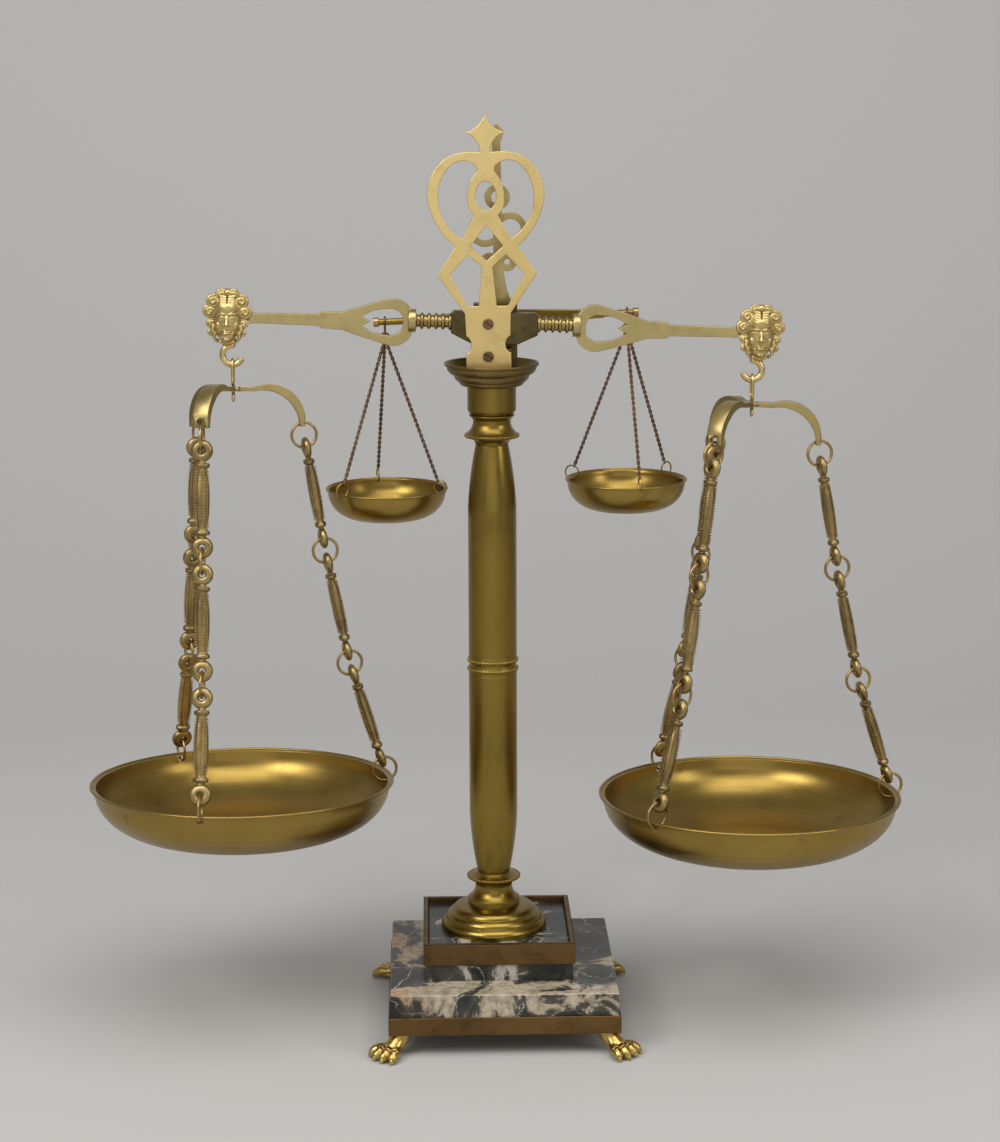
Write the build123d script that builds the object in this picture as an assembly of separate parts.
"""Brass double balance on a marble base: two beams, two large pans and two small pans.

Millimetres. +Z is up, +X is to the right and +Y goes to the back. The origin is on the table,
under the column's axis. The front beam is stored tipped to the right and the rear beam tipped
to the left, as they stand; every pan hangs plumb.
"""

import os
from math import atan2, cos, degrees, hypot, radians, sin, tan

from build123d import *

# Clearances
FIT = 0.3               # loose fit between pieces of one assembly
RUN = 0.3               # gap between pieces that hang in each other
SLIP = 0.1              # radial gap of a pin in its socket
BORE_PLAY = 0.06        # radial gap between a pivot screw and its beam
SWING_GAP = 1.4         # side gap of a beam beside a plate or the head block

# Base
BASE_SIDE = 175.0
BASE_SHIFT = 6.0        # the slab and its tray stand this far right of the column
RIM_SHIFT = 2.8         # and the upper block and its rim this far
BASE_FRAME_HEIGHT = 14.0
FRAME_WALL = 1.2
FRAME_FLOOR = 1.5
SLAB_SHOWN = 17.5
SLAB_EDGE = 0.8
PLINTH_SIDE = 112.0
PLINTH_HEIGHT = 13.0
RIM_SIDE = 115.0
RIM_WALL = 4.0
RIM_HEIGHT = 16.5
PANEL_DROP = 4.0

# Claw feet
FOOT_HEIGHT = 17.5
FOOT_REACH = 27.5       # from the frame's corner region out to the toes, on the diagonal
FOOT_INSET = 10.0       # from the frame's corner to the foot's screw, along each side
PAW_RADIUS = 8.6
TOE_RADIUS = 5.0
LEG_RADIUS = 9.0
FOOT_SCREW_RADIUS = 2.0

# Column
ROD_RADIUS = 4.0
ROD_PLAY = 0.4
DOME_RADIUS = 40.7
DOME_HEIGHT = 23.5
DOME_TOP_RADIUS = 19.6
KNOP_RADIUS = 19.9
KNOP_WAIST = 14.2
LOWER_KNOP_HEIGHT = 20.5
TUBE_RADIUS = 18.3
TUBE_END_RADIUS = 12.3
TUBE_WALL = 1.8
LOWER_TUBE_HEIGHT = 158.0
RING_RADIUS = 18.8
RING_HEIGHT = 14.0
UPPER_TUBE_HEIGHT = 162.0
UPPER_KNOP_HEIGHT = 22.5
NECK_RADIUS = 18.2
NECK_HEIGHT = 22.0
CUP_RADIUS = 35.3
CUP_HEIGHT = 17.0
CUP_FLOOR = 5.0
NUT_RADIUS = 8.0
NUT_HEIGHT = 6.0

# Head
PIVOT_ABOVE_CUP = 30.0  # from the cup's rim up to both pivots
BLOCK_WIDTH = 30.0
WEB_WIDTH = 26.0
WEB_DEPTH = 14.0
WEB_ABOVE_PIVOT = 13.0
HUB_CLEAR = 4.0         # room under the front hub for its tilt
PLATE_THICKNESS = 3.5
REAR_PLATE_THICKNESS = 3.0
REAR_FOOT_RISE = 7.0    # from the cup's floor up to the rear plate
PIVOT_X = -2.7          # the front plate and its pivot stand this far left of the column
REAR_SHIFT = 6.3        # the rear plate stands this far to the right
REAR_PIVOT_X = 12.1     # and the rear beam's pivot this far
PLATE_LEAN = 0.8        # degrees that both plates lean to the left
REAR_FOOT_HALF = 12.0
REAR_FOOT_WAIST = 9.5
REAR_STEM_HALF = 3.0
REAR_STEM_TOP = 5.6
REAR_EYELET = 9.4
REAR_EYELET_Z = 91.0    # heights are from the pivot
REAR_SCROLL = 12.6
REAR_SCROLL_OUT = 9.4
REAR_SCROLL_Z = 67.0
REAR_CURL = 7.0
REAR_CURL_OUT = 6.6
REAR_CURL_Z = 43.0
REAR_BAND = 4.8
LOZENGE_LOW = 13.3
LOZENGE_MIDDLE = 36.5
LOZENGE_HIGH = 57.2     # where the lozenge's arms cross into the heart
HEART_TOP = 126.0
DIAMOND_HALF = 12.2
DIAMOND_LOW = 46.6
DIAMOND_HIGH = 72.5
EYELET_Z = 93.9
EYELET_HIGH = 10.6      # half of the eyelet's height

FINIAL_HEIGHT = 153.0   # from the pivot up to the front plate's tip
PLATE_FOOT_HALF = 16.7
PLATE_WAIST_HALF = 12.6
HEART_HALF = 43.0
LOZENGE_HALF = 36.5
LOZENGE_BAND = 6.4
EYELET_HALF = 13.4
STAR_HALF = 14.7
PIVOT_SCREW_RADIUS = 2.2
SCREW_HEAD_RADIUS = 4.0
SCREW_HEAD_HEIGHT = 1.6
LOWER_SCREW_DROP = 24.0

# Front beam
FRONT_TILT = 2.1
BEAM_SHIFT = 2.2        # the beam's middle lies this far right of the column
HUB_HALF = 32.2
HUB_THICKNESS = 9.5
HUB_TOP = 8.5
HUB_END_DROP = 8.0
HUB_DROP = 15.0
SPINDLE_LENGTH = 26.0
SPINDLE_CORE = 4.6
SPINDLE_RIDGE = 6.3
SPINDLE_RIDGES = 5
ARM_THICKNESS = 5.0
ARM_COLLAR = 8.6
ARM_COLLAR_LENGTH = 5.5
EYE_HALF = 17.3
EYE_BAND = 7.4
EYE_LENGTH = 68.3
ARM_END = 181.2
ARM_DROP = 1.6          # the arms lie this far under the spindles' line
ARM_STEP_HALF = 5.8
ARM_BAR_HALF = 3.6
HOOK_ARM = 193.4        # from the beam's middle out to each hook
MASK_ARM = 196.2        # and out to each mask's middle
MASK_DROP = 3.5         # from the beam's line down to the mask's middle
MASK_HALF_WIDTH = 12.5
MASK_HALF_HEIGHT = 19.0
MASK_DEPTH = 9.0
MASK_CURL = 5.2
MASK_CURLS = ((13.0, 5.5), (10.6, 13.6), (4.2, 18.6), (12.0, -10.6), (12.6, -2.6))
TENON_RADIUS = 2.2
TENON_LENGTH = 9.0
HOOK_WIRE = 2.4
HOOK_BEND = 7.2
HOOK_ARC = 250.0        # degrees of a full ring
HOOK_STEM = 11.0        # from the hook's wire line up into the mask's chin
HOOK_DROP = 29.5        # from the beam's line down to the hook's centre

# Hanger links, bails, cast chain links and rings
LINK_WIRE = 1.2
LINK_HALF = 4.6
LINK_LENGTH = 18.5      # of the hanger's upper loop, between its wire centres
LOWER_LOOP = 2.6
WAIST_LENGTH = 7.0
BAIL_THICKNESS = 3.5
BAIL_REACH = 50.5
BAIL_FALL = 23.0
BAIL_ROOT_HALF = 4.2
BAIL_END_HALF = 6.2
BAIL_HOLE_LEAN = 12.0
RING_BEND = 9.4
RING_WIRE = 1.1
RING_HOLE = 2.3
BAIL_HOLE = 2.9         # loose, because the bail's arms don't point straight at the pan's holes
CAST_LINK_SPAN = 70.4   # between the holes of one cast link
CAST_EYE_RADIUS = 8.0
CAST_EYE_THICKNESS = 6.0
CAST_BODY_LENGTH = 49.5
CAST_BODY_WIDE = 6.0
CAST_BODY_DEEP = 4.4
CAST_COLLAR = 1.2       # how far a collar stands out of the body's end
CAST_COLLAR_HEIGHT = 3.0
CAST_LINKS = 3          # in one strand
CHAIN_SPLAY = 0.205     # slope of the topmost cast link, out for each unit down
CHAIN_SAG = 0.42        # how much flatter each lower link hangs
BAIL_ANGLES = (0.0, 120.0, -120.0)
BAIL_TURN = {-1: 7.0, 1: -7.0}              # each bail's turn about its link, left and right
BAIL_NOD = {-1: -8.0, 1: -3.0}              # its front arm's lift
BAIL_LEAN = {-1: 0.0, 1: 2.5}               # its right arm's fall
PAN_ANGLES = {-1: (9.0, 120.0, -102.0), 1: (3.0, 124.0, -135.0)}
PAN_SHIFT = {-1: -0.2, 1: 2.8}              # the pan's middle from under its link

# Pans
PAN_RADIUS = 116.0
PAN_DEPTH = 42.0
PAN_WALL = 1.6
PAN_LIP = 1.9
PAN_HOLE_DROP = 4.6
SMALL_PAN_RADIUS = 46.8
SMALL_PAN_DEPTH = 24.0
SMALL_PAN_WALL = 1.2
SMALL_PAN_LIP = 0.4
SMALL_HOLE_DROP = 2.4
SMALL_HOLE = 1.5
SMALL_RING_BEND = 5.2
SMALL_RING_WIRE = 0.6
LEFT_SMALL_ANGLES = (-20.0, 100.0, 220.0)
RIGHT_SMALL_ANGLES = (-80.0, 40.0, 160.0)

# Rear beam
REAR_TILT = -1.8
REAR_DROP = 1.4          # from the rear pivot down to the beam's line
REAR_ARM = 92.0         # from the rear pivot out to each small hanger
REAR_HUB_THICKNESS = 9.0
REAR_HUB_HALF = 9.0
SPACER_LENGTH = 19.4    # bush that carries the rear beam clear of the rear plate
SPACER_RADIUS = 5.0
REAR_BAR_HALF = 4.5
REAR_BAR_END = 74.0
REAR_PIN_RADIUS = 2.5
REAR_TIP_RADIUS = 3.6
REAR_TIP_LENGTH = 4.0
REAR_TIP_GAP = 4.6      # from the hanger out to the end knob
HANGER_WIRE = 0.8
HANGER_HALF = 4.0
HANGER_LENGTH = 14.0
GATHER_BEND = 3.2
SMALL_CHAIN_DROP = 111.5
SMALL_CHAIN_RADIUS = 0.9
SMALL_CHAIN_SPACING = 1.3

# Heights that follow from the sizes
FRAME_Z = FOOT_HEIGHT
SLAB_Z = FRAME_Z + FRAME_FLOOR
SLAB_TOP = FRAME_Z + BASE_FRAME_HEIGHT + SLAB_SHOWN
RIM_Z = SLAB_TOP + PLINTH_HEIGHT
PANEL_Z = RIM_Z + RIM_HEIGHT - PANEL_DROP
LOWER_KNOP_Z = PANEL_Z + DOME_HEIGHT
LOWER_TUBE_Z = LOWER_KNOP_Z + LOWER_KNOP_HEIGHT
RING_Z = LOWER_TUBE_Z + LOWER_TUBE_HEIGHT
UPPER_TUBE_Z = RING_Z + RING_HEIGHT
UPPER_KNOP_Z = UPPER_TUBE_Z + UPPER_TUBE_HEIGHT
NECK_Z = UPPER_KNOP_Z + UPPER_KNOP_HEIGHT
CUP_Z = NECK_Z + NECK_HEIGHT
CUP_FLOOR_Z = CUP_Z + CUP_FLOOR
CUP_RIM_Z = CUP_Z + CUP_HEIGHT
PIVOT_Z = CUP_RIM_Z + PIVOT_ABOVE_CUP

# Depths, from the front plate to the rear beam
WEB_FRONT = 2.6
WEB_BACK = WEB_FRONT + WEB_DEPTH
BEAM_Y = WEB_FRONT - SWING_GAP - HUB_THICKNESS / 2
PLATE_BACK = BEAM_Y - HUB_THICKNESS / 2 - SWING_GAP
PLATE_FRONT = PLATE_BACK - PLATE_THICKNESS
REAR_PLATE_BACK = WEB_BACK + REAR_PLATE_THICKNESS
REAR_BEAM_Y = REAR_PLATE_BACK + SPACER_LENGTH + RUN + REAR_HUB_THICKNESS / 2
BLOCK_STEP_Z = PIVOT_Z - HUB_DROP - HUB_CLEAR
LOWER_SCREW_Z = PIVOT_Z - LOWER_SCREW_DROP

SIDES = {"left": -1, "right": 1}
CORNERS = {"front_left": (-1, -1), "front_right": (1, -1), "rear_left": (-1, 1), "rear_right": (1, 1)}
PIVOT_AXIS = Axis((PIVOT_X, 0, PIVOT_Z), (0, 1, 0))
REAR_AXIS = Axis((REAR_PIVOT_X, 0, PIVOT_Z), (0, 1, 0))


def outline(start, *steps):
    """Closed face in the XZ plane. A step is a point, or a middle and an end point for an arc."""
    edges = []
    here = start
    for step in steps:
        if isinstance(step[0], tuple):
            edges.append(ThreePointArc(here, step[0], step[1]))
            here = step[1]
        else:
            edges.append(Line(here, step))
            here = step
    if hypot(here[0] - start[0], here[1] - start[1]) > 1e-6:
        edges.append(Line(here, start))
    return make_face(Plane.XZ * Curve(edges))


def turned(z, start, *steps):
    """Body of revolution about Z from an outline of (radius, height) steps, standing at z."""
    return Pos(0, 0, z) * revolve(outline(start, *steps), Axis.Z)


def plate(face, front, thickness):
    """A face of the XZ plane as a plate, from y = front back to front + thickness."""
    return Pos(0, front, 0) * extrude(face, amount=thickness, dir=(0, 1, 0))


def box_between(x0, x1, y0, y1, z0, z1):
    return Pos((x0 + x1) / 2, (y0 + y1) / 2, (z0 + z1) / 2) * Box(x1 - x0, y1 - y0, z1 - z0)


def rod_between(start, end, radius):
    """Round rod from one point to another."""
    way = Vector(*end) - Vector(*start)
    return extrude(Plane(origin=start, z_dir=way) * Circle(radius), way.length)


def along_y(x, z, y0, y1, radius):
    return rod_between((x, y0, z), (x, y1, z), radius)


def mirrored(half):
    return half + mirror(half, Plane.YZ)


def tipped(x, z, degrees_right, pivot_x=0.0):
    """Where a point of a beam at (x, z) from its pivot lies once the beam has tipped."""
    a = radians(degrees_right)
    return pivot_x + x * cos(a) + z * sin(a), PIVOT_Z - x * sin(a) + z * cos(a)


# Base

def claw_foot(corner):
    """Cast lion's paw under one corner, splayed along the diagonal, flat where it stands."""
    sx, sy = corner
    screw = BASE_SIDE / 2 - FOOT_INSET
    turn = degrees(atan2(sy, sx))
    ankle = LEG_RADIUS * 0.82
    reach = FOOT_REACH - TOE_RADIUS * 0.4
    pad = Cylinder(LEG_RADIUS, 2.4, align=(Align.CENTER, Align.CENTER, Align.MAX))
    leg = Pos(0, 0, FOOT_HEIGHT) * pad
    leg += loft([
        Pos(0, 0, FOOT_HEIGHT - 2.4) * Circle(LEG_RADIUS),
        Pos(reach * 0.28, 0, FOOT_HEIGHT * 0.52) * Circle(ankle),
        Pos(reach * 0.55, 0, FOOT_HEIGHT * 0.2) * Circle(PAW_RADIUS),
    ])
    leg += Pos(reach * 0.62, 0, FOOT_HEIGHT * 0.28) * Sphere(PAW_RADIUS)
    for side in (-1.5, -0.5, 0.5, 1.5):
        length = reach - abs(side) * TOE_RADIUS * 0.45
        toe = Pos(length, side * TOE_RADIUS * 1.05, TOE_RADIUS * 0.8) * Sphere(TOE_RADIUS)
        knuckle = Pos(length * 0.8, side * TOE_RADIUS * 0.95, TOE_RADIUS * 1.35) * Sphere(TOE_RADIUS)
        leg += toe + knuckle
    room = box_between(-LEG_RADIUS * 2, FOOT_REACH * 2, -FOOT_REACH, FOOT_REACH, 0, FOOT_HEIGHT)
    leg = leg & room
    hole = Cylinder(FOOT_SCREW_RADIUS, FOOT_HEIGHT * 4)
    leg -= hole
    return Pos(BASE_SHIFT + sx * screw, sy * screw, 0) * Rot(0, 0, turn) * leg


def foot_screws():
    """Four screws up through the paws and the tray's floor, each with its head under the pad."""
    place = BASE_SIDE / 2 - FOOT_INSET
    shank = Cylinder(FOOT_SCREW_RADIUS - SLIP, FOOT_HEIGHT * 0.5 + FRAME_FLOOR,
                     align=(Align.CENTER, Align.CENTER, Align.MAX))
    return [Pos(BASE_SHIFT + sx * place, sy * place, FRAME_Z + FRAME_FLOOR) * shank for sx, sy in CORNERS.values()]


def square_block(shift, half, low, high):
    """Square block about the base's own centre line, shift to the right of the column."""
    return box_between(shift - half, shift + half, -half, half, low, high)


def rod_hole(low, high):
    return rod_between((0, 0, low - FIT), (0, 0, high + FIT), ROD_RADIUS + ROD_PLAY)


def screw_holes(radius, low, high):
    place = BASE_SIDE / 2 - FOOT_INSET
    return [rod_between((BASE_SHIFT + sx * place, sy * place, low), (BASE_SHIFT + sx * place, sy * place, high), radius)
            for sx, sy in CORNERS.values()]


def base_frame():
    """Folded brass tray that holds the slab."""
    tray = square_block(BASE_SHIFT, BASE_SIDE / 2, FRAME_Z, FRAME_Z + BASE_FRAME_HEIGHT)
    tray -= square_block(BASE_SHIFT, BASE_SIDE / 2 - FRAME_WALL, SLAB_Z, SLAB_TOP)
    tray -= rod_hole(FRAME_Z, SLAB_Z)
    for hole in screw_holes(FOOT_SCREW_RADIUS, FRAME_Z - FIT, SLAB_Z + FIT):
        tray -= hole
    return tray


def lower_marble():
    slab = square_block(BASE_SHIFT, BASE_SIDE / 2 - FRAME_WALL - FIT, SLAB_Z, SLAB_TOP)
    slab = chamfer(slab.edges().group_by(Axis.Z)[-1], SLAB_EDGE)
    return slab - rod_hole(SLAB_Z, SLAB_TOP)


def upper_marble():
    """Plinth block, rebated so that the brass rim seats on its shoulder."""
    block = square_block(RIM_SHIFT, PLINTH_SIDE / 2, SLAB_TOP, RIM_Z)
    block += square_block(RIM_SHIFT, RIM_SIDE / 2 - RIM_WALL - FIT, SLAB_TOP, PANEL_Z)
    return block - rod_hole(SLAB_TOP, PANEL_Z)


def rim_frame():
    band = square_block(RIM_SHIFT, RIM_SIDE / 2, RIM_Z, RIM_Z + RIM_HEIGHT)
    band -= square_block(RIM_SHIFT, RIM_SIDE / 2 - RIM_WALL, RIM_Z - FIT, RIM_Z + RIM_HEIGHT + FIT)
    return chamfer(band.edges().group_by(Axis.Z)[-1], FRAME_WALL / 3)


# Column

def dome_foot():
    """Stepped and rolled foot of the column, hollow underneath."""
    r, top, bore = DOME_RADIUS, DOME_TOP_RADIUS, ROD_RADIUS + ROD_PLAY
    h = DOME_HEIGHT
    step = (r - top) / 20
    hollow = top - TUBE_WALL * 2
    return turned(
        PANEL_Z, (r, 0), (r, h * 0.09),
        ((r - step * 1.0, h * 0.22), (r - step * 3.0, h * 0.3)), (r - step * 3.6, h * 0.3),
        ((r - step * 5.0, h * 0.46), (r - step * 7.6, h * 0.54)), (r - step * 8.2, h * 0.54),
        ((r - step * 10.0, h * 0.68), (r - step * 13.0, h * 0.74)), (top, h * 0.78), (top, h),
        (bore, h), (bore, h - TUBE_WALL * 2), (hollow, h - TUBE_WALL * 2),
        ((r - step * 9.0, h * 0.4), (r - TUBE_WALL * 1.6, 0)),
    )


def knop(z, height, bead_at, wide_end, narrow_end):
    """Turned knop: a waist, then a sharp bead. bead_at is the bead's share of the height."""
    bore = ROD_RADIUS + ROD_PLAY
    bead = height * bead_at
    lip = height * 0.05
    waist = (height * 0.45 if bead_at > 0.5 else height * 0.7)
    if bead_at > 0.5:
        return turned(z, (wide_end, 0), ((KNOP_WAIST + 0.9, waist * 0.55), (KNOP_WAIST, waist)),
                      ((KNOP_WAIST + 1.6, bead * 0.82), (KNOP_RADIUS, bead - lip)), (KNOP_RADIUS, bead + lip),
                      ((narrow_end + 2.6, bead + (height - bead) * 0.55), (narrow_end, height)),
                      (bore, height), (bore, 0))
    return turned(z, (narrow_end, 0), ((narrow_end + 1.9, bead * 0.5), (KNOP_RADIUS, bead - lip)),
                  (KNOP_RADIUS, bead + lip), ((KNOP_WAIST + 1.2, waist * 0.8), (KNOP_WAIST, waist)),
                  (KNOP_WAIST, height * 0.84), (wide_end - 1.2, height * 0.97), (wide_end - 1.2, height),
                  (bore, height), (bore, 0))


def column_tube(z, height, narrow_low):
    """Spun tube, drawn in at one end. narrow_low puts the drawn end at the bottom."""
    swell = height * 0.3
    inside = TUBE_RADIUS - TUBE_WALL
    mouth = TUBE_END_RADIUS - TUBE_WALL
    if narrow_low:
        return turned(z, (TUBE_END_RADIUS, 0), ((TUBE_RADIUS - 2.0, swell * 0.5), (TUBE_RADIUS, swell)),
                      (TUBE_RADIUS, height), (inside, height), (inside, swell),
                      ((inside - 2.0, swell * 0.5), (mouth, 0)))
    return turned(z, (TUBE_RADIUS, 0), (TUBE_RADIUS, height - swell),
                  ((TUBE_RADIUS - 2.0, height - swell * 0.5), (TUBE_END_RADIUS, height)),
                  (mouth, height), ((inside - 2.0, height - swell * 0.5), (inside, height - swell)),
                  (inside, 0))


def middle_ring():
    """Joint ring with two fine beads, between the two tubes."""
    h = RING_HEIGHT
    bead = RING_RADIUS - TUBE_RADIUS + 0.6
    low, high = h * 0.26, h * 0.74
    return turned(RING_Z, (TUBE_RADIUS, 0), (TUBE_RADIUS, low - bead), ((RING_RADIUS, low), (TUBE_RADIUS, low + bead)),
                  (TUBE_RADIUS - 0.5, h * 0.5), (TUBE_RADIUS, high - bead),
                  ((RING_RADIUS, high), (TUBE_RADIUS, high + bead)), (TUBE_RADIUS, h),
                  (ROD_RADIUS + ROD_PLAY, h), (ROD_RADIUS + ROD_PLAY, 0))


def neck_sleeve():
    foot = KNOP_WAIST + 1.6
    return turned(NECK_Z, (foot, 0), (NECK_RADIUS, NECK_HEIGHT * 0.16), (NECK_RADIUS, NECK_HEIGHT),
                  (ROD_RADIUS + ROD_PLAY, NECK_HEIGHT), (ROD_RADIUS + ROD_PLAY, 0))


def drip_cup():
    """Stepped cup that carries the head."""
    r, h, wall = CUP_RADIUS, CUP_HEIGHT, TUBE_WALL
    return turned(CUP_Z, (NECK_RADIUS + 1.6, 0), ((r * 0.67, h * 0.06), (r * 0.7, h * 0.2)), (r * 0.735, h * 0.2),
                  ((r * 0.79, h * 0.36), (r * 0.81, h * 0.5)), (r * 0.85, h * 0.5),
                  ((r * 0.93, h * 0.66), (r * 0.96, h * 0.86)), (r, h * 0.9), (r, h), (r - wall * 0.7, h),
                  ((r * 0.86, h * 0.7), (r * 0.7, CUP_FLOOR)),
                  (ROD_RADIUS + ROD_PLAY, CUP_FLOOR), (ROD_RADIUS + ROD_PLAY, 0))


def tie_rod():
    """Threaded rod that draws the base, the column and the head block together."""
    foot = FRAME_Z - NUT_HEIGHT - 3.0
    top = CUP_FLOOR_Z + (BLOCK_STEP_Z - CUP_FLOOR_Z) * 0.6
    return rod_between((0, 0, foot), (0, 0, top), ROD_RADIUS)


def tie_nut():
    nut = extrude(RegularPolygon(NUT_RADIUS, 6), NUT_HEIGHT)
    nut += Pos(0, 0, NUT_HEIGHT - 1.2) * Cylinder(NUT_RADIUS * 1.5, 1.2, align=(Align.CENTER, Align.CENTER, Align.MIN))
    nut -= Cylinder(ROD_RADIUS + BORE_PLAY, NUT_HEIGHT * 4)
    return Pos(0, 0, FRAME_Z - NUT_HEIGHT) * nut


# Head

def head_block():
    """Post in the cup: a wide foot for both plates, and a web between the two beams."""
    half, web = BLOCK_WIDTH / 2, WEB_WIDTH / 2
    top = PIVOT_Z + WEB_ABOVE_PIVOT
    block = box_between(-half, half, PLATE_BACK, WEB_BACK, CUP_FLOOR_Z, BLOCK_STEP_Z)
    block += box_between(-web, web + REAR_SHIFT, WEB_FRONT, WEB_BACK, BLOCK_STEP_Z - 1, top)
    block += box_between(half - 1, web + REAR_SHIFT, WEB_FRONT, WEB_BACK, CUP_FLOOR_Z + CUP_FLOOR, BLOCK_STEP_Z)
    top_of_rod = CUP_FLOOR_Z + (BLOCK_STEP_Z - CUP_FLOOR_Z) * 0.6
    block -= rod_between((0, 0, CUP_FLOOR_Z - 1), (0, 0, top_of_rod + FIT), ROD_RADIUS + BORE_PLAY)
    hole = PIVOT_SCREW_RADIUS + BORE_PLAY
    middle = (WEB_FRONT + WEB_BACK) / 2
    block -= along_y(PIVOT_X, PIVOT_Z, WEB_FRONT - 1, middle - 1, hole)
    block -= along_y(REAR_PIVOT_X, PIVOT_Z, middle + 1, WEB_BACK + 1, hole)
    block -= along_y(PIVOT_X, LOWER_SCREW_Z, PLATE_BACK - 1, PLATE_BACK + 8, hole)
    block -= along_y(REAR_SHIFT, LOWER_SCREW_Z, WEB_BACK - 6, WEB_BACK + 1, hole)
    return block


def in_heart(across, up):
    """Point of the heart: shares of its half width and of its height over the crossing."""
    return HEART_HALF * across, LOZENGE_HIGH + (HEART_TOP - LOZENGE_HIGH) * up


def front_outline():
    """Right half of the front plate: foot, lozenge, heart and star, in (x, height over the pivot)."""
    foot = CUP_FLOOR_Z + FIT - PIVOT_Z
    top = FINIAL_HEIGHT
    wide = PLATE_FOOT_HALF
    return outline(
        (0, foot), (wide, foot), (wide, foot * 0.52), (wide * 0.87, foot * 0.49),
        ((PLATE_WAIST_HALF, foot * 0.37), (wide * 0.87, foot * 0.24)), (wide * 0.98, foot * 0.21),
        (wide * 1.02, LOZENGE_LOW * 0.6), (LOZENGE_HALF, LOZENGE_MIDDLE), in_heart(0.535, 0),
        (in_heart(0.851, 0.237), in_heart(1, 0.533)), (in_heart(0.91, 0.77), in_heart(0.625, 0.955)),
        (in_heart(0.33, 1), in_heart(0.091, 0.99)),
        ((STAR_HALF * 0.42, top - STAR_HALF * 1.32), (STAR_HALF, top - STAR_HALF * 0.905)),
        ((STAR_HALF * 0.45, top - STAR_HALF * 0.64), (0, top)),
    )


def heart_hole():
    """Right opening of the heart, in the front plate's half."""
    return outline(
        in_heart(0.416, 0.08), (in_heart(0.681, 0.237), in_heart(0.814, 0.491)),
        (in_heart(0.781, 0.667), in_heart(0.57, 0.869)), (in_heart(0.34, 0.905), in_heart(0.165, 0.85)),
        (in_heart(0.151, 0.814), in_heart(0.165, 0.779)), (in_heart(0.274, 0.667), in_heart(0.312, 0.519)),
        (in_heart(0.291, 0.404), in_heart(0.2, 0.326)),
    )


def lozenge_hole():
    """Right opening of the lozenge, between its arm and the tapered tongue."""
    band = LOZENGE_BAND
    wide = PLATE_FOOT_HALF
    return outline(
        (LOZENGE_HALF - band * 1.4, LOZENGE_MIDDLE), (wide * 0.845, LOZENGE_HIGH - band * 0.95),
        (wide * 0.234, DIAMOND_LOW - band * 0.72), (wide * 0.395, LOZENGE_LOW), (wide * 0.89, LOZENGE_LOW),
    )


def front_plate():
    """Pierced front plate with the heart, the eyelet, the lozenge and the star tip."""
    half = front_outline()
    half -= heart_hole()
    half -= lozenge_hole()
    face = half + mirror(half, Plane.YZ)
    face -= outline((0, DIAMOND_HIGH), (DIAMOND_HALF, LOZENGE_HIGH), (0, DIAMOND_LOW), (-DIAMOND_HALF, LOZENGE_HIGH))
    face -= Plane.XZ * Pos(0, EYELET_Z) * Ellipse(EYELET_HALF * 0.56, EYELET_HIGH)
    pierced = plate(Pos(PIVOT_X, 0, PIVOT_Z) * face, PLATE_FRONT, PLATE_THICKNESS).rotate(PIVOT_AXIS, -PLATE_LEAN)
    hole = PIVOT_SCREW_RADIUS + BORE_PLAY
    pierced -= along_y(PIVOT_X, PIVOT_Z, PLATE_FRONT - 1, PLATE_BACK + 1, hole)
    pierced -= along_y(PIVOT_X, LOWER_SCREW_Z, PLATE_FRONT - 1, PLATE_BACK + 1, hole)
    return pierced


def ring_face(x, z, outer, inner):
    centre = Plane.XZ * Pos(x, z) * Circle(outer)
    return centre - Plane.XZ * Pos(x, z) * Circle(inner)


def rear_plate():
    """Scrolled rear plate: a stem with a leaf tip, an eyelet and two pairs of scrolls."""
    foot = CUP_FLOOR_Z + REAR_FOOT_RISE - PIVOT_Z
    top = FINIAL_HEIGHT - FINIAL_HEIGHT * 0.05
    wide, waist, stem_half = REAR_FOOT_HALF, REAR_FOOT_WAIST, REAR_STEM_HALF
    stem = outline((0, foot), (wide, foot), (wide, foot * 0.7), ((waist, foot * 0.4), (wide * 0.9, foot * 0.1)),
                   (wide * 0.9, -foot * 0.3), (stem_half * 2, -foot * 0.65), (stem_half * 1.2, REAR_CURL_Z * 0.85),
                   (stem_half, top - REAR_STEM_TOP * 2.5),
                   ((REAR_STEM_TOP * 0.82, top - REAR_STEM_TOP * 1.8), (REAR_STEM_TOP, top - REAR_STEM_TOP)), (0, top))
    face = stem + mirror(stem, Plane.YZ)
    for out, height, outer in ((REAR_SCROLL_OUT, REAR_SCROLL_Z, REAR_SCROLL), (REAR_CURL_OUT, REAR_CURL_Z, REAR_CURL)):
        ring = ring_face(out, height, outer, outer - REAR_BAND)
        face += ring + mirror(ring, Plane.YZ)
    face += ring_face(0, REAR_EYELET_Z, REAR_EYELET, REAR_EYELET - REAR_BAND)
    face -= Plane.XZ * Pos(0, REAR_EYELET_Z) * Circle(REAR_EYELET - REAR_BAND)
    lean_axis = Axis((REAR_SHIFT, 0, PIVOT_Z), (0, 1, 0))
    scrolled = plate(Pos(REAR_SHIFT, 0, PIVOT_Z) * face, WEB_BACK, REAR_PLATE_THICKNESS).rotate(lean_axis, -PLATE_LEAN)
    hole = PIVOT_SCREW_RADIUS + BORE_PLAY
    scrolled -= along_y(REAR_PIVOT_X, PIVOT_Z, WEB_BACK - 1, REAR_PLATE_BACK + 1, hole)
    scrolled -= along_y(REAR_SHIFT, LOWER_SCREW_Z, WEB_BACK - 1, REAR_PLATE_BACK + 1, hole)
    return scrolled


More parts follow.
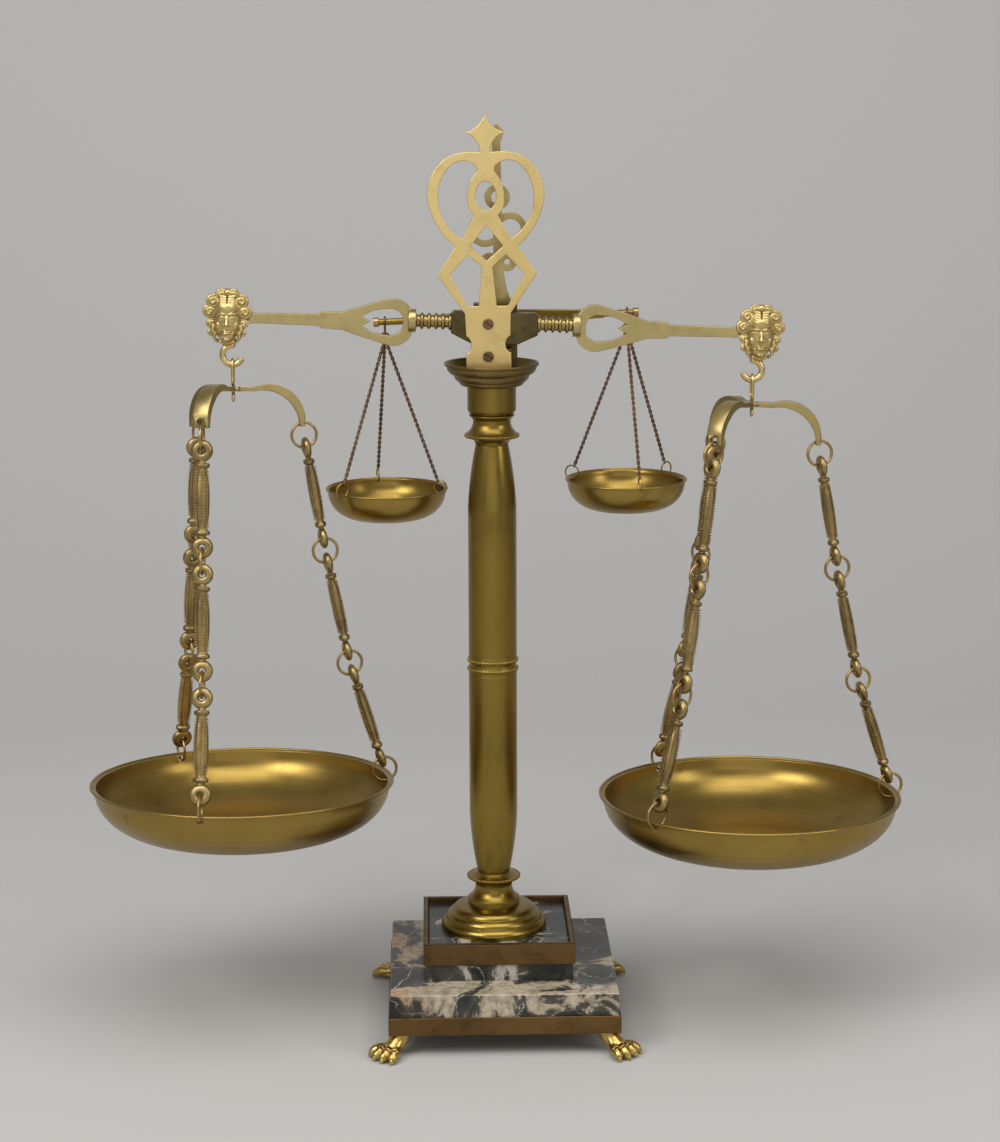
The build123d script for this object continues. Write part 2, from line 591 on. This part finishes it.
def screw(x, z, face_y, way, length):
    """Slotted round-head screw. way is +1 where it goes towards the back."""
    shank = along_y(x, z, face_y, face_y + way * length, PIVOT_SCREW_RADIUS)
    head = along_y(x, z, face_y, face_y - way * SCREW_HEAD_HEIGHT, SCREW_HEAD_RADIUS)
    far = face_y - way * SCREW_HEAD_HEIGHT
    slot = Pos(x, far, z) * Rot(0, 35, 0) * Box(SCREW_HEAD_RADIUS * 3, SCREW_HEAD_HEIGHT, SCREW_HEAD_HEIGHT * 0.5)
    return shank + head - slot


def front_pivot_screw():
    middle = (WEB_FRONT + WEB_BACK) / 2
    return screw(PIVOT_X, PIVOT_Z, PLATE_FRONT, 1, middle - 2 - PLATE_FRONT)


def rear_pivot_screw():
    middle = (WEB_FRONT + WEB_BACK) / 2
    back = REAR_BEAM_Y + REAR_HUB_THICKNESS / 2 + FIT
    return screw(REAR_PIVOT_X, PIVOT_Z, back, -1, back - middle - 2)


def rear_spacer():
    bush = along_y(REAR_PIVOT_X, PIVOT_Z, REAR_PLATE_BACK, REAR_PLATE_BACK + SPACER_LENGTH, SPACER_RADIUS)
    return bush - along_y(REAR_PIVOT_X, PIVOT_Z, WEB_BACK, REAR_BEAM_Y, PIVOT_SCREW_RADIUS + BORE_PLAY)


def plate_screws():
    return [screw(PIVOT_X, LOWER_SCREW_Z, PLATE_FRONT, 1, PLATE_THICKNESS + 7),
            screw(REAR_SHIFT, LOWER_SCREW_Z, REAR_PLATE_BACK, -1, REAR_PLATE_THICKNESS + 5)]


# Front beam, drawn level about its pivot and tipped at the end

def beam_hub():
    half = outline((0, HUB_TOP), (HUB_HALF - 2, HUB_TOP), (HUB_HALF, HUB_TOP - 2), (HUB_HALF, -HUB_END_DROP),
                   (HUB_HALF * 0.55, -HUB_DROP), (0, -HUB_DROP))
    face = half + mirror(half, Plane.YZ)
    hub = plate(Pos(BEAM_SHIFT, 0, PIVOT_Z) * face, BEAM_Y - HUB_THICKNESS / 2, HUB_THICKNESS)
    return hub - along_y(PIVOT_X, PIVOT_Z, BEAM_Y - HUB_THICKNESS, BEAM_Y + HUB_THICKNESS, PIVOT_SCREW_RADIUS + BORE_PLAY)


def along_beam(shape, side, x):
    """Puts a shape turned about Z on the beam's line, its base x out from the beam's middle."""
    return Pos(BEAM_SHIFT + side * x, BEAM_Y, PIVOT_Z) * Rot(0, side * 90, 0) * shape


def spindle(side):
    """Turned spindle between the hub and one arm, with fine ridges."""
    pitch = SPINDLE_LENGTH / SPINDLE_RIDGES
    steps = [(SPINDLE_RIDGE, 0)]
    for n in range(SPINDLE_RIDGES):
        low = n * pitch
        ridge = SPINDLE_RIDGE if n in (0, SPINDLE_RIDGES - 1) else SPINDLE_RIDGE * 0.96
        steps += [(ridge, low + pitch * 0.3), (SPINDLE_CORE, low + pitch * 0.42), (SPINDLE_CORE, low + pitch * 0.85)]
        if n < SPINDLE_RIDGES - 1:
            steps.append((SPINDLE_RIDGE * 0.96, low + pitch))
    steps += [(SPINDLE_RIDGE, SPINDLE_LENGTH), (0, SPINDLE_LENGTH), (0, 0)]
    return along_beam(turned(0, *steps), side, HUB_HALF)


def arm_start():
    return HUB_HALF + SPINDLE_LENGTH + ARM_COLLAR_LENGTH * 0.45


def arm_profile():
    """Upper half of one arm, from the collar out to the mask, in (x, height over the beam's line)."""
    start = arm_start()
    far = start + EYE_LENGTH
    return outline(
        (start, 0), (start, ARM_COLLAR * 0.72),
        ((start + EYE_LENGTH * 0.075, EYE_HALF * 0.83), (start + EYE_LENGTH * 0.24, EYE_HALF)),
        ((start + EYE_LENGTH * 0.5, EYE_HALF * 0.72), (start + EYE_LENGTH * 0.76, ARM_STEP_HALF + 0.9)),
        (far, ARM_STEP_HALF), (far + 0.6, ARM_BAR_HALF + 0.6), (ARM_END - ARM_STEP_HALF, ARM_BAR_HALF),
        (ARM_END, ARM_BAR_HALF + 0.6), (ARM_END, 0),
    )


def arm_eye():
    """Upper half of the arm's opening, with half of the pointed tongue."""
    start = arm_start()
    inner = EYE_HALF - EYE_BAND
    return outline(
        (start + EYE_BAND * 0.95, 0),
        ((start + EYE_BAND * 1.2, inner * 0.66), (start + EYE_LENGTH * 0.26, inner)),
        ((start + EYE_LENGTH * 0.4, inner * 0.86), (start + EYE_LENGTH * 0.555, inner * 0.34)),
        (start + EYE_LENGTH * 0.46, 0),
    )


def beam_arm(side):
    """Pierced arm with its collar, its bar and the tenon that enters the mask."""
    half = arm_profile() - arm_eye()
    face = half + mirror(half, Plane.XY)
    arm = plate(Pos(0, 0, PIVOT_Z) * face, BEAM_Y - ARM_THICKNESS / 2, ARM_THICKNESS)
    if side < 0:
        arm = mirror(arm, Plane.YZ)
    arm = Pos(BEAM_SHIFT, 0, -ARM_DROP) * arm
    collar = Cylinder(ARM_COLLAR, ARM_COLLAR_LENGTH, align=(Align.CENTER, Align.CENTER, Align.MIN))
    arm += along_beam(collar, side, HUB_HALF + SPINDLE_LENGTH)
    tenon = Cylinder(TENON_RADIUS, TENON_LENGTH, align=(Align.CENTER, Align.CENTER, Align.MIN))
    return arm + Pos(0, 0, -ARM_DROP) * along_beam(tenon, side, ARM_END)


def mask(side):
    """Cast head at a beam's end: a plate of curls with a domed face in front, flat at the back."""
    x, z = BEAM_SHIFT + side * MASK_ARM, PIVOT_Z - MASK_DROP
    hook_x = BEAM_SHIFT + side * HOOK_ARM
    back = BEAM_Y + MASK_DEPTH * 0.45
    front = BEAM_Y - MASK_DEPTH * 0.55
    outline_face = Plane.XZ * Ellipse(MASK_HALF_WIDTH, MASK_HALF_HEIGHT)
    for cx, cz in MASK_CURLS:
        for way in (-1, 1):
            outline_face += Plane.XZ * Pos(way * cx, cz) * Circle(MASK_CURL)
    head = plate(Pos(x, 0, z) * outline_face, front, back - front)
    near = Plane(origin=(x, front + FIT, z), x_dir=(1, 0, 0), z_dir=(0, -1, 0))
    far = Plane(origin=(x, BEAM_Y - MASK_DEPTH * 1.2, z), x_dir=(1, 0, 0), z_dir=(0, -1, 0))
    head += loft([near * Ellipse(MASK_HALF_WIDTH * 0.84, MASK_HALF_HEIGHT * 0.84),
                  far * Ellipse(MASK_HALF_WIDTH * 0.42, MASK_HALF_HEIGHT * 0.5)])
    socket = Cylinder(TENON_RADIUS + SLIP, TENON_LENGTH + FIT, align=(Align.CENTER, Align.CENTER, Align.MIN))
    head -= Pos(0, 0, -ARM_DROP) * along_beam(socket, side, ARM_END)
    inner = BEAM_SHIFT + side * (ARM_END + 0.05)
    head -= box_between(min(0, inner), max(0, inner), BEAM_Y - 40, BEAM_Y + 40, PIVOT_Z - 40, PIVOT_Z + 40)
    stem_top = PIVOT_Z - HOOK_DROP + HOOK_BEND + HOOK_STEM + FIT
    head -= rod_between((hook_x, BEAM_Y, PIVOT_Z - 60), (hook_x, BEAM_Y, stem_top), HOOK_WIRE + SLIP)
    chin = PIVOT_Z - HOOK_DROP + HOOK_BEND + HOOK_WIRE + SLIP
    wide = MASK_HALF_HEIGHT * 2
    return head - box_between(x - wide, x + wide, BEAM_Y - wide, BEAM_Y + wide, chin - wide, chin)


def hook_solid(side):
    """The hook's bend runs from the top, round the outer side, to the mouth."""
    x, z = BEAM_SHIFT + side * HOOK_ARM, PIVOT_Z - HOOK_DROP
    start = Plane(origin=(x, BEAM_Y, z + HOOK_BEND), x_dir=(0, 1, 0), z_dir=(side, 0, 0))
    axis = Axis((x, BEAM_Y, z), (0, side, 0))
    bend = revolve(start * Circle(HOOK_WIRE), axis, revolution_arc=HOOK_ARC)
    stem = rod_between((x, BEAM_Y, z + HOOK_BEND), (x, BEAM_Y, z + HOOK_BEND + HOOK_STEM), HOOK_WIRE)
    return bend + stem + Pos(x, BEAM_Y, z + HOOK_BEND) * Sphere(HOOK_WIRE)


# Hangers and pans

def stadium(wire, half_width, length):
    """Closed loop of round wire in the YZ plane: two half rings joined by straight sides."""
    straight = length - 2 * half_width
    room = 4 * half_width
    ring = Rot(0, 90, 0) * Torus(half_width, wire)
    upper = ring & box_between(-room, room, -room, room, 0, room)
    lower = ring & box_between(-room, room, -room, room, -room, 0)
    loop = upper + Pos(0, 0, -straight) * lower
    for side in (-1, 1):
        loop += rod_between((0, side * half_width, -straight), (0, side * half_width, 0), wire)
    return Pos(0, 0, -half_width) * loop


def hanger_link(side):
    """Wire link on the hook: a long upper loop, a waist through the bail and a small lower loop."""
    x, z = link_top(side)
    waist = rod_between((0, 0, -LINK_LENGTH - WAIST_LENGTH), (0, 0, -LINK_LENGTH), LINK_WIRE)
    lower = Pos(0, 0, -LINK_LENGTH - WAIST_LENGTH - LOWER_LOOP) * Rot(0, 90, 0) * Torus(LOWER_LOOP, LINK_WIRE)
    link = stadium(LINK_WIRE, LINK_HALF, LINK_LENGTH) + waist + lower
    return Pos(x, BEAM_Y, z) * link


def hook_low(side):
    """Centre of the hook's wire at its lowest point, once the beam has tipped."""
    x, z = tipped(BEAM_SHIFT - PIVOT_X + side * HOOK_ARM, -HOOK_DROP, FRONT_TILT, PIVOT_X)
    return x, z - HOOK_BEND


def link_top(side):
    x, z = hook_low(side)
    return x, z + HOOK_WIRE + LINK_WIRE + RUN


def bail_under(side):
    """The bail's underside lies on the shoulders of the hanger's lower loop."""
    x, z = link_top(side)
    return x, z - LINK_LENGTH - WAIST_LENGTH + LINK_WIRE + RUN


def bail(side):
    """Three-armed yoke: flared straps that curve down, each with a ring hole at its end."""
    x, z = bail_under(side)
    top_r = BAIL_FALL * 1.02
    lean = strand_slope(0)
    flat = BAIL_REACH - top_r * 0.9
    t = BAIL_THICKNESS
    end = BAIL_REACH + 2.0
    band = outline((0, 0), (flat * 0.55, 0), ((BAIL_REACH - top_r * 0.36 - t, -top_r * 0.22), (end - t * 0.95, -BAIL_FALL - 3.6)),
                   (end + t * 0.05, -BAIL_FALL - 3.2), ((BAIL_REACH - top_r * 0.24, -top_r * 0.1), (flat * 0.55, t)), (0, t))
    half = BAIL_END_HALF
    shape = plate(band, -half, half * 2)
    root, wide = BAIL_ROOT_HALF, BAIL_END_HALF
    plan = Polyline((0, -root), (flat * 0.5, -root), (BAIL_REACH * 0.8, -wide), (end, -wide), (end + 1, -wide * 0.5),
                    (end + 1, wide * 0.5), (end, wide), (BAIL_REACH * 0.8, wide), (flat * 0.5, root), (0, root), close=True)
    arm = shape & Pos(0, 0, -BAIL_FALL * 2) * extrude(make_face(plan), BAIL_FALL * 3)
    yoke = Cylinder(BAIL_ROOT_HALF * 1.6, t, align=(Align.CENTER, Align.CENTER, Align.MIN))
    for angle in BAIL_ANGLES:
        yoke += Rot(0, 0, angle) * arm
    yoke -= Cylinder(LINK_WIRE + 0.9, t * 6)
    hole_r, hole_z = BAIL_REACH, -BAIL_FALL
    for angle in BAIL_ANGLES:
        normal = Rot(0, 0, angle) * Pos(hole_r, 0, hole_z) * Rot(0, 90 - BAIL_HOLE_LEAN, 0) * Cylinder(BAIL_HOLE, t * 5)
        yoke -= normal
    return bail_place(side) * yoke


def bail_place(side):
    """The bail's own frame: turned and nodding about the middle of its hole."""
    x, z = bail_under(side)
    half = BAIL_THICKNESS / 2
    nod = Rot(BAIL_NOD[side], 0, 0) * Rot(0, BAIL_LEAN[side], 0) * Rot(0, 0, BAIL_TURN[side])
    return Pos(x, BEAM_Y, z + half) * nod * Pos(0, 0, -half)


def bail_holes(side):
    place = bail_place(side)
    points = [(Rot(0, 0, angle) * Pos(BAIL_REACH, 0, -BAIL_FALL)) for angle in BAIL_ANGLES]
    return [(place * point).position for point in points]


def strand_slope(n):
    """Slope of the n-th cast link from the top: a loaded chain hangs flatter lower down."""
    return CHAIN_SPLAY * (1 + CHAIN_SAG * n * n / 2)


def unit(radial, tangent, down):
    size = hypot(radial, tangent, down)
    return Vector(radial / size, tangent / size, -down / size)


def eye_offset():
    """From a ring's centre to the centre of a cast link's hole, pulled tight."""
    at_face = (RING_BEND ** 2 - (CAST_EYE_THICKNESS / 2) ** 2) ** 0.5
    return at_face - RING_WIRE + RING_HOLE - RUN


def bail_offset():
    at_face = (RING_BEND ** 2 - (BAIL_THICKNESS / 2) ** 2) ** 0.5
    return at_face - RING_WIRE + RING_HOLE - RUN


PITCH = CAST_LINK_SPAN + 2 * eye_offset()


def rim_inset():
    """How far inside the rim the middle of the wall is at the hole."""
    return PAN_WALL + PAN_HOLE_DROP * 0.38


def cast_link():
    """Cast link along -Z from its top hole: two flat eyes, two collars and a baluster body."""
    middle = -CAST_LINK_SPAN / 2
    half = CAST_BODY_LENGTH / 2
    body = loft([Pos(0, 0, middle + half) * Ellipse(CAST_BODY_DEEP * 0.78, CAST_BODY_WIDE * 0.74),
                 Pos(0, 0, middle) * Ellipse(CAST_BODY_DEEP, CAST_BODY_WIDE),
                 Pos(0, 0, middle - half) * Ellipse(CAST_BODY_DEEP * 0.78, CAST_BODY_WIDE * 0.74)])
    link = body
    neck = (CAST_LINK_SPAN - CAST_BODY_LENGTH) / 2
    for way in (1, -1):
        hole = middle + way * CAST_LINK_SPAN / 2
        seat = middle + way * half
        collar = extrude(Ellipse(CAST_BODY_DEEP * 0.78 + CAST_COLLAR, CAST_BODY_WIDE * 0.74 + CAST_COLLAR),
                         CAST_COLLAR_HEIGHT)
        link += Pos(0, 0, seat - CAST_COLLAR_HEIGHT / 2) * collar
        stub = extrude(Ellipse(CAST_EYE_THICKNESS / 2, CAST_BODY_WIDE * 0.62), neck - CAST_EYE_RADIUS * 0.4)
        link += Pos(0, 0, seat if way > 0 else seat - (neck - CAST_EYE_RADIUS * 0.4)) * stub
        link += Pos(0, 0, hole) * Rot(0, 90, 0) * Cylinder(CAST_EYE_RADIUS, CAST_EYE_THICKNESS)
    for hole in (0, -CAST_LINK_SPAN):
        link -= Pos(0, 0, hole) * Rot(0, 90, 0) * Cylinder(RING_HOLE, CAST_EYE_THICKNESS * 3)
    return link


def strand_points(hole_at, pan_at):
    """Link directions and ring centres of one strand from a bail's hole to a pan's.

    Each link's slope grows downwards. The slopes are scaled together until the last ring
    reaches the pan's hole in plan.
    """
    out = Vector(pan_at.X - hole_at.X, pan_at.Y - hole_at.Y, 0)
    away = out.normalized()

    def run(scale):
        ways = []
        for n in range(CAST_LINKS):
            slope = strand_slope(n) * scale
            size = hypot(1, slope)
            ways.append(Vector(away.X * slope / size, away.Y * slope / size, -1 / size))
        centres = [hole_at + ways[0] * bail_offset()]
        for way in ways:
            centres.append(centres[-1] + way * PITCH)
        return ways, centres, centres[-1] + ways[-1] * RING_BEND

    low, high = 0.1, 6.0
    for _ in range(60):
        scale = (low + high) / 2
        ways, centres, last = run(scale)
        spread = (last.X - hole_at.X) * away.X + (last.Y - hole_at.Y) * away.Y
        if spread < out.length:
            low = scale
        else:
            high = scale
    return ways, centres, last, away


def in_strand(centre, way, away):
    """Frame at a strand's point: Z up the strand, X in the strand's upright plane, Y across it."""
    across = Vector(-away.Y, away.X, 0)
    up = way * -1
    return Plane(origin=(centre.X, centre.Y, centre.Z), x_dir=across.cross(up), z_dir=up)


def pan_middle(side):
    x, _ = bail_under(side)
    return x + PAN_SHIFT[side]


def strands(side):
    """Links and rings of the three strands under one bail, and where the last rings reach."""
    links, rings, ends = [], [], []
    pattern = cast_link()
    reach = PAN_RADIUS - rim_inset()
    for hole_at, angle in zip(bail_holes(side), PAN_ANGLES[side]):
        a = radians(angle)
        pan_at = Vector(pan_middle(side) + reach * cos(a), BEAM_Y + reach * sin(a), 0)
        ways, centres, last, away = strand_points(hole_at, pan_at)
        for n, way in enumerate(ways):
            at = centres[n] + way * eye_offset()
            links.append(in_strand(at, way, away).location * pattern)
        for n, centre in enumerate(centres):
            way = ways[min(n, CAST_LINKS - 1)]
            rings.append(in_strand(centre, way, away).location * Rot(90, 0, 0) * Torus(RING_BEND, RING_WIRE))
        ends.append((last, away))
    return links, rings, ends


def dish(radius, depth, wall, lip):
    """Spun pan with its rim at z = 0, turned out by the lip."""
    side = radius - lip - wall * 0.9
    bowl = outline(
        (0, -depth), (radius * 0.42, -depth), ((radius * 0.8, -depth * 0.72), (side, -depth * 0.16)),
        ((radius - lip, -depth * 0.06), (radius, -wall * 0.7)), (radius, 0), (radius - wall, 0),
        ((side - wall * 0.1, -depth * 0.05), (side - wall * 1.05, -depth * 0.16)),
        ((radius * 0.8 - wall * 0.66, -depth * 0.72 + wall * 0.72), (radius * 0.42, -depth + wall)), (0, -depth + wall),
    )
    return revolve(bowl, Axis.Z)


def rim_holes(pan_radius, drop, hole, angles, lean):
    cutters = []
    for angle in angles:
        cutters.append(Rot(0, 0, angle) * Pos(pan_radius, 0, -drop) * Rot(0, 90 - lean, 0) * Cylinder(hole, 16))
    return cutters


# Rear beam and small pans

def rear_beam():
    """Flat tapered beam with a round boss round its pivot and a round pin at each end."""
    half = outline((0, REAR_BAR_HALF + 1.5), (REAR_HUB_HALF, REAR_BAR_HALF + 1.2), (REAR_BAR_END, REAR_PIN_RADIUS + 0.4),
                   (REAR_BAR_END, -REAR_PIN_RADIUS - 0.4), (REAR_HUB_HALF, -REAR_BAR_HALF - 1.2), (0, -REAR_BAR_HALF - 1.5))
    face = half + mirror(half, Plane.YZ)
    thick = REAR_HUB_THICKNESS * 0.62
    line = PIVOT_Z - REAR_DROP
    beam = plate(Pos(0, 0, line) * face, REAR_BEAM_Y - thick / 2, thick)
    beam += along_y(0, PIVOT_Z, REAR_BEAM_Y - REAR_HUB_THICKNESS / 2, REAR_BEAM_Y + REAR_HUB_THICKNESS / 2, REAR_HUB_HALF)
    end = REAR_ARM + REAR_TIP_GAP
    for side in (-1, 1):
        beam += rod_between((side * (REAR_BAR_END - 2), REAR_BEAM_Y, line), (side * end, REAR_BEAM_Y, line),
                            REAR_PIN_RADIUS)
    beam -= along_y(0, PIVOT_Z, REAR_BEAM_Y - 20, REAR_BEAM_Y + 20, PIVOT_SCREW_RADIUS + BORE_PLAY)
    return Pos(REAR_PIVOT_X, 0, 0) * beam


def rear_tips():
    """End knobs that keep the hangers on the pins."""
    knobs = []
    line = PIVOT_Z - REAR_DROP
    for side in (-1, 1):
        x = REAR_PIVOT_X + side * (REAR_ARM + REAR_TIP_GAP)
        knobs.append(rod_between((x, REAR_BEAM_Y, line), (x + side * REAR_TIP_LENGTH, REAR_BEAM_Y, line),
                                 REAR_TIP_RADIUS))
    return knobs


def rear_hang(side):
    """Centre of the rear beam's pin under one hanger, once the beam has tipped."""
    return tipped(side * REAR_ARM, -REAR_DROP, REAR_TILT, REAR_PIVOT_X)


def small_hanger(side):
    x, z = rear_hang(side)
    top = z + REAR_PIN_RADIUS + HANGER_WIRE + RUN
    return Pos(x, REAR_BEAM_Y, top) * stadium(HANGER_WIRE, HANGER_HALF, HANGER_LENGTH)


def gather_top(side):
    """Centre of the hanger's wire at its lowest point."""
    x, z = rear_hang(side)
    return x, z + REAR_PIN_RADIUS + HANGER_WIRE + RUN - HANGER_LENGTH


def gather_ring(side):
    x, z = gather_top(side)
    drop = GATHER_BEND - 2 * HANGER_WIRE - RUN
    return Pos(x, REAR_BEAM_Y, z - drop) * Rot(90, 0, 0) * Torus(GATHER_BEND, HANGER_WIRE)


def gather_low(side):
    x, z = gather_top(side)
    return x, z - 2 * GATHER_BEND + HANGER_WIRE + RUN


def small_hole():
    """Radius and depth under the rim of the middle of a small pan's hole."""
    return SMALL_PAN_RADIUS - SMALL_PAN_LIP - SMALL_PAN_WALL * 0.8, -SMALL_HOLE_DROP


def small_ways(side, angles):
    """Start, end and ring centre of each small chain, about the small pan's axis."""
    low_x, low_z = gather_low(side)
    rim = low_z - SMALL_CHAIN_DROP
    hole_r, hole_z = small_hole()
    rows = []
    for angle in angles:
        slope = (hole_r - SMALL_CHAIN_SPACING) / SMALL_CHAIN_DROP
        size = hypot(1, slope)
        lean_r, lean_z = slope / size, -1 / size
        ring_r = hole_r - lean_r * SMALL_RING_BEND
        ring_z = rim + hole_z - lean_z * SMALL_RING_BEND
        reach = SMALL_RING_BEND + SMALL_RING_WIRE + RUN
        end_r, end_z = ring_r - lean_r * reach, ring_z - lean_z * reach
        start_r, start_z = SMALL_CHAIN_SPACING, low_z - RUN
        rows.append((angle, (start_r, start_z), (end_r, end_z), (ring_r, ring_z)))
    return low_x, rim, rows


def turned_point(x, radius, angle, z):
    a = radians(angle)
    return x + radius * cos(a), REAR_BEAM_Y + radius * sin(a), z


def small_chains(side, angles):
    x, _, rows = small_ways(side, angles)
    return [rod_between(turned_point(x, *start_polar(angle, start)), turned_point(x, *start_polar(angle, end)),
                        SMALL_CHAIN_RADIUS) for angle, start, end, _ in rows]


def start_polar(angle, point):
    return point[0], angle, point[1]


def small_rings(side, angles):
    x, _, rows = small_ways(side, angles)
    rings = []
    for angle, _, _, (ring_r, ring_z) in rows:
        at = turned_point(x, ring_r, angle, ring_z)
        rings.append(Pos(*at) * Rot(0, 0, angle) * Rot(90, 0, 0) * Torus(SMALL_RING_BEND, SMALL_RING_WIRE))
    return rings


def small_pan(side, angles):
    x, rim, _ = small_ways(side, angles)
    pan = dish(SMALL_PAN_RADIUS, SMALL_PAN_DEPTH, SMALL_PAN_WALL, SMALL_PAN_LIP)
    for cutter in rim_holes(small_hole()[0], SMALL_HOLE_DROP, SMALL_HOLE, angles, 0):
        pan -= cutter
    return Pos(x, REAR_BEAM_Y, rim) * pan


def large_pan(side, ends):
    """The pan lies in the plane of its three holes, so it hangs a little askew."""
    first, second, third = (last for last, _ in ends)
    up = (second - first).cross(third - first).normalized()
    x = pan_middle(side)
    z = first.Z - (up.X * (x - first.X) + up.Y * (BEAM_Y - first.Y)) / up.Z
    centre = Vector(x, BEAM_Y, z) + up * PAN_HOLE_DROP
    pan = Plane(origin=(centre.X, centre.Y, centre.Z), x_dir=(up.Z, 0, -up.X), z_dir=up).location * dish(
        PAN_RADIUS, PAN_DEPTH, PAN_WALL, PAN_LIP)
    for last, away in ends:
        pan -= rod_between(tuple(last - away * PAN_HOLE_DROP), tuple(last + away * PAN_HOLE_DROP), RING_HOLE)
    return pan


def solids_of(shape):
    if isinstance(shape, (list, tuple)):
        return [s for piece in shape for s in solids_of(piece)]
    return list(shape.solids())


def write(name, shape):
    pieces = solids_of(shape)
    whole = pieces[0] if len(pieces) == 1 else Compound(children=pieces)
    export_step(whole, os.path.join("parts", name + ".step"))


def tip_front(shape):
    return shape.rotate(PIVOT_AXIS, FRONT_TILT)


def build():
    os.makedirs("parts", exist_ok=True)
    for name, corner in CORNERS.items():
        write("claw_foot_" + name, claw_foot(corner))
    write("foot_screws", foot_screws())
    write("base_frame", base_frame())
    write("lower_marble", lower_marble())
    write("upper_marble", upper_marble())
    write("rim_frame", rim_frame())
    write("dome_foot", dome_foot())
    write("lower_knop", knop(LOWER_KNOP_Z, LOWER_KNOP_HEIGHT, 0.82, DOME_TOP_RADIUS, TUBE_END_RADIUS))
    write("lower_tube", column_tube(LOWER_TUBE_Z, LOWER_TUBE_HEIGHT, True))
    write("middle_ring", middle_ring())
    write("upper_tube", column_tube(UPPER_TUBE_Z, UPPER_TUBE_HEIGHT, False))
    write("upper_knop", knop(UPPER_KNOP_Z, UPPER_KNOP_HEIGHT, 0.3, NECK_RADIUS, TUBE_END_RADIUS))
    write("neck_sleeve", neck_sleeve())
    write("drip_cup", drip_cup())
    write("tie_rod", tie_rod())
    write("tie_nut", tie_nut())
    write("head_block", head_block())
    write("front_plate", front_plate())
    write("rear_plate", rear_plate())
    write("front_pivot_screw", front_pivot_screw())
    write("rear_pivot_screw", rear_pivot_screw())
    write("rear_spacer", rear_spacer())
    write("plate_screws", plate_screws())
    write("beam_hub", tip_front(beam_hub()))
    for name, side in SIDES.items():
        write("spindle_" + name, tip_front(spindle(side)))
        write("beam_arm_" + name, tip_front(beam_arm(side)))
        write("mask_" + name, tip_front(mask(side)))
        write("beam_hook_" + name, tip_front(hook_solid(side)))
        write("hanger_link_" + name, hanger_link(side))
        write("bail_" + name, bail(side))
        links, rings, ends = strands(side)
        write("chain_links_" + name, links)
        write("chain_rings_" + name, rings)
        write("large_pan_" + name, large_pan(side, ends))
        small = LEFT_SMALL_ANGLES if side < 0 else RIGHT_SMALL_ANGLES
        write("small_hanger_" + name, small_hanger(side))
        write("gather_ring_" + name, gather_ring(side))
        write("small_chains_" + name, small_chains(side, small))
        write("small_rings_" + name, small_rings(side, small))
        write("small_pan_" + name, small_pan(side, small))
    write("rear_beam", rear_beam().rotate(REAR_AXIS, REAR_TILT))
    write("rear_tips", [knob.rotate(REAR_AXIS, REAR_TILT) for knob in rear_tips()])


build()
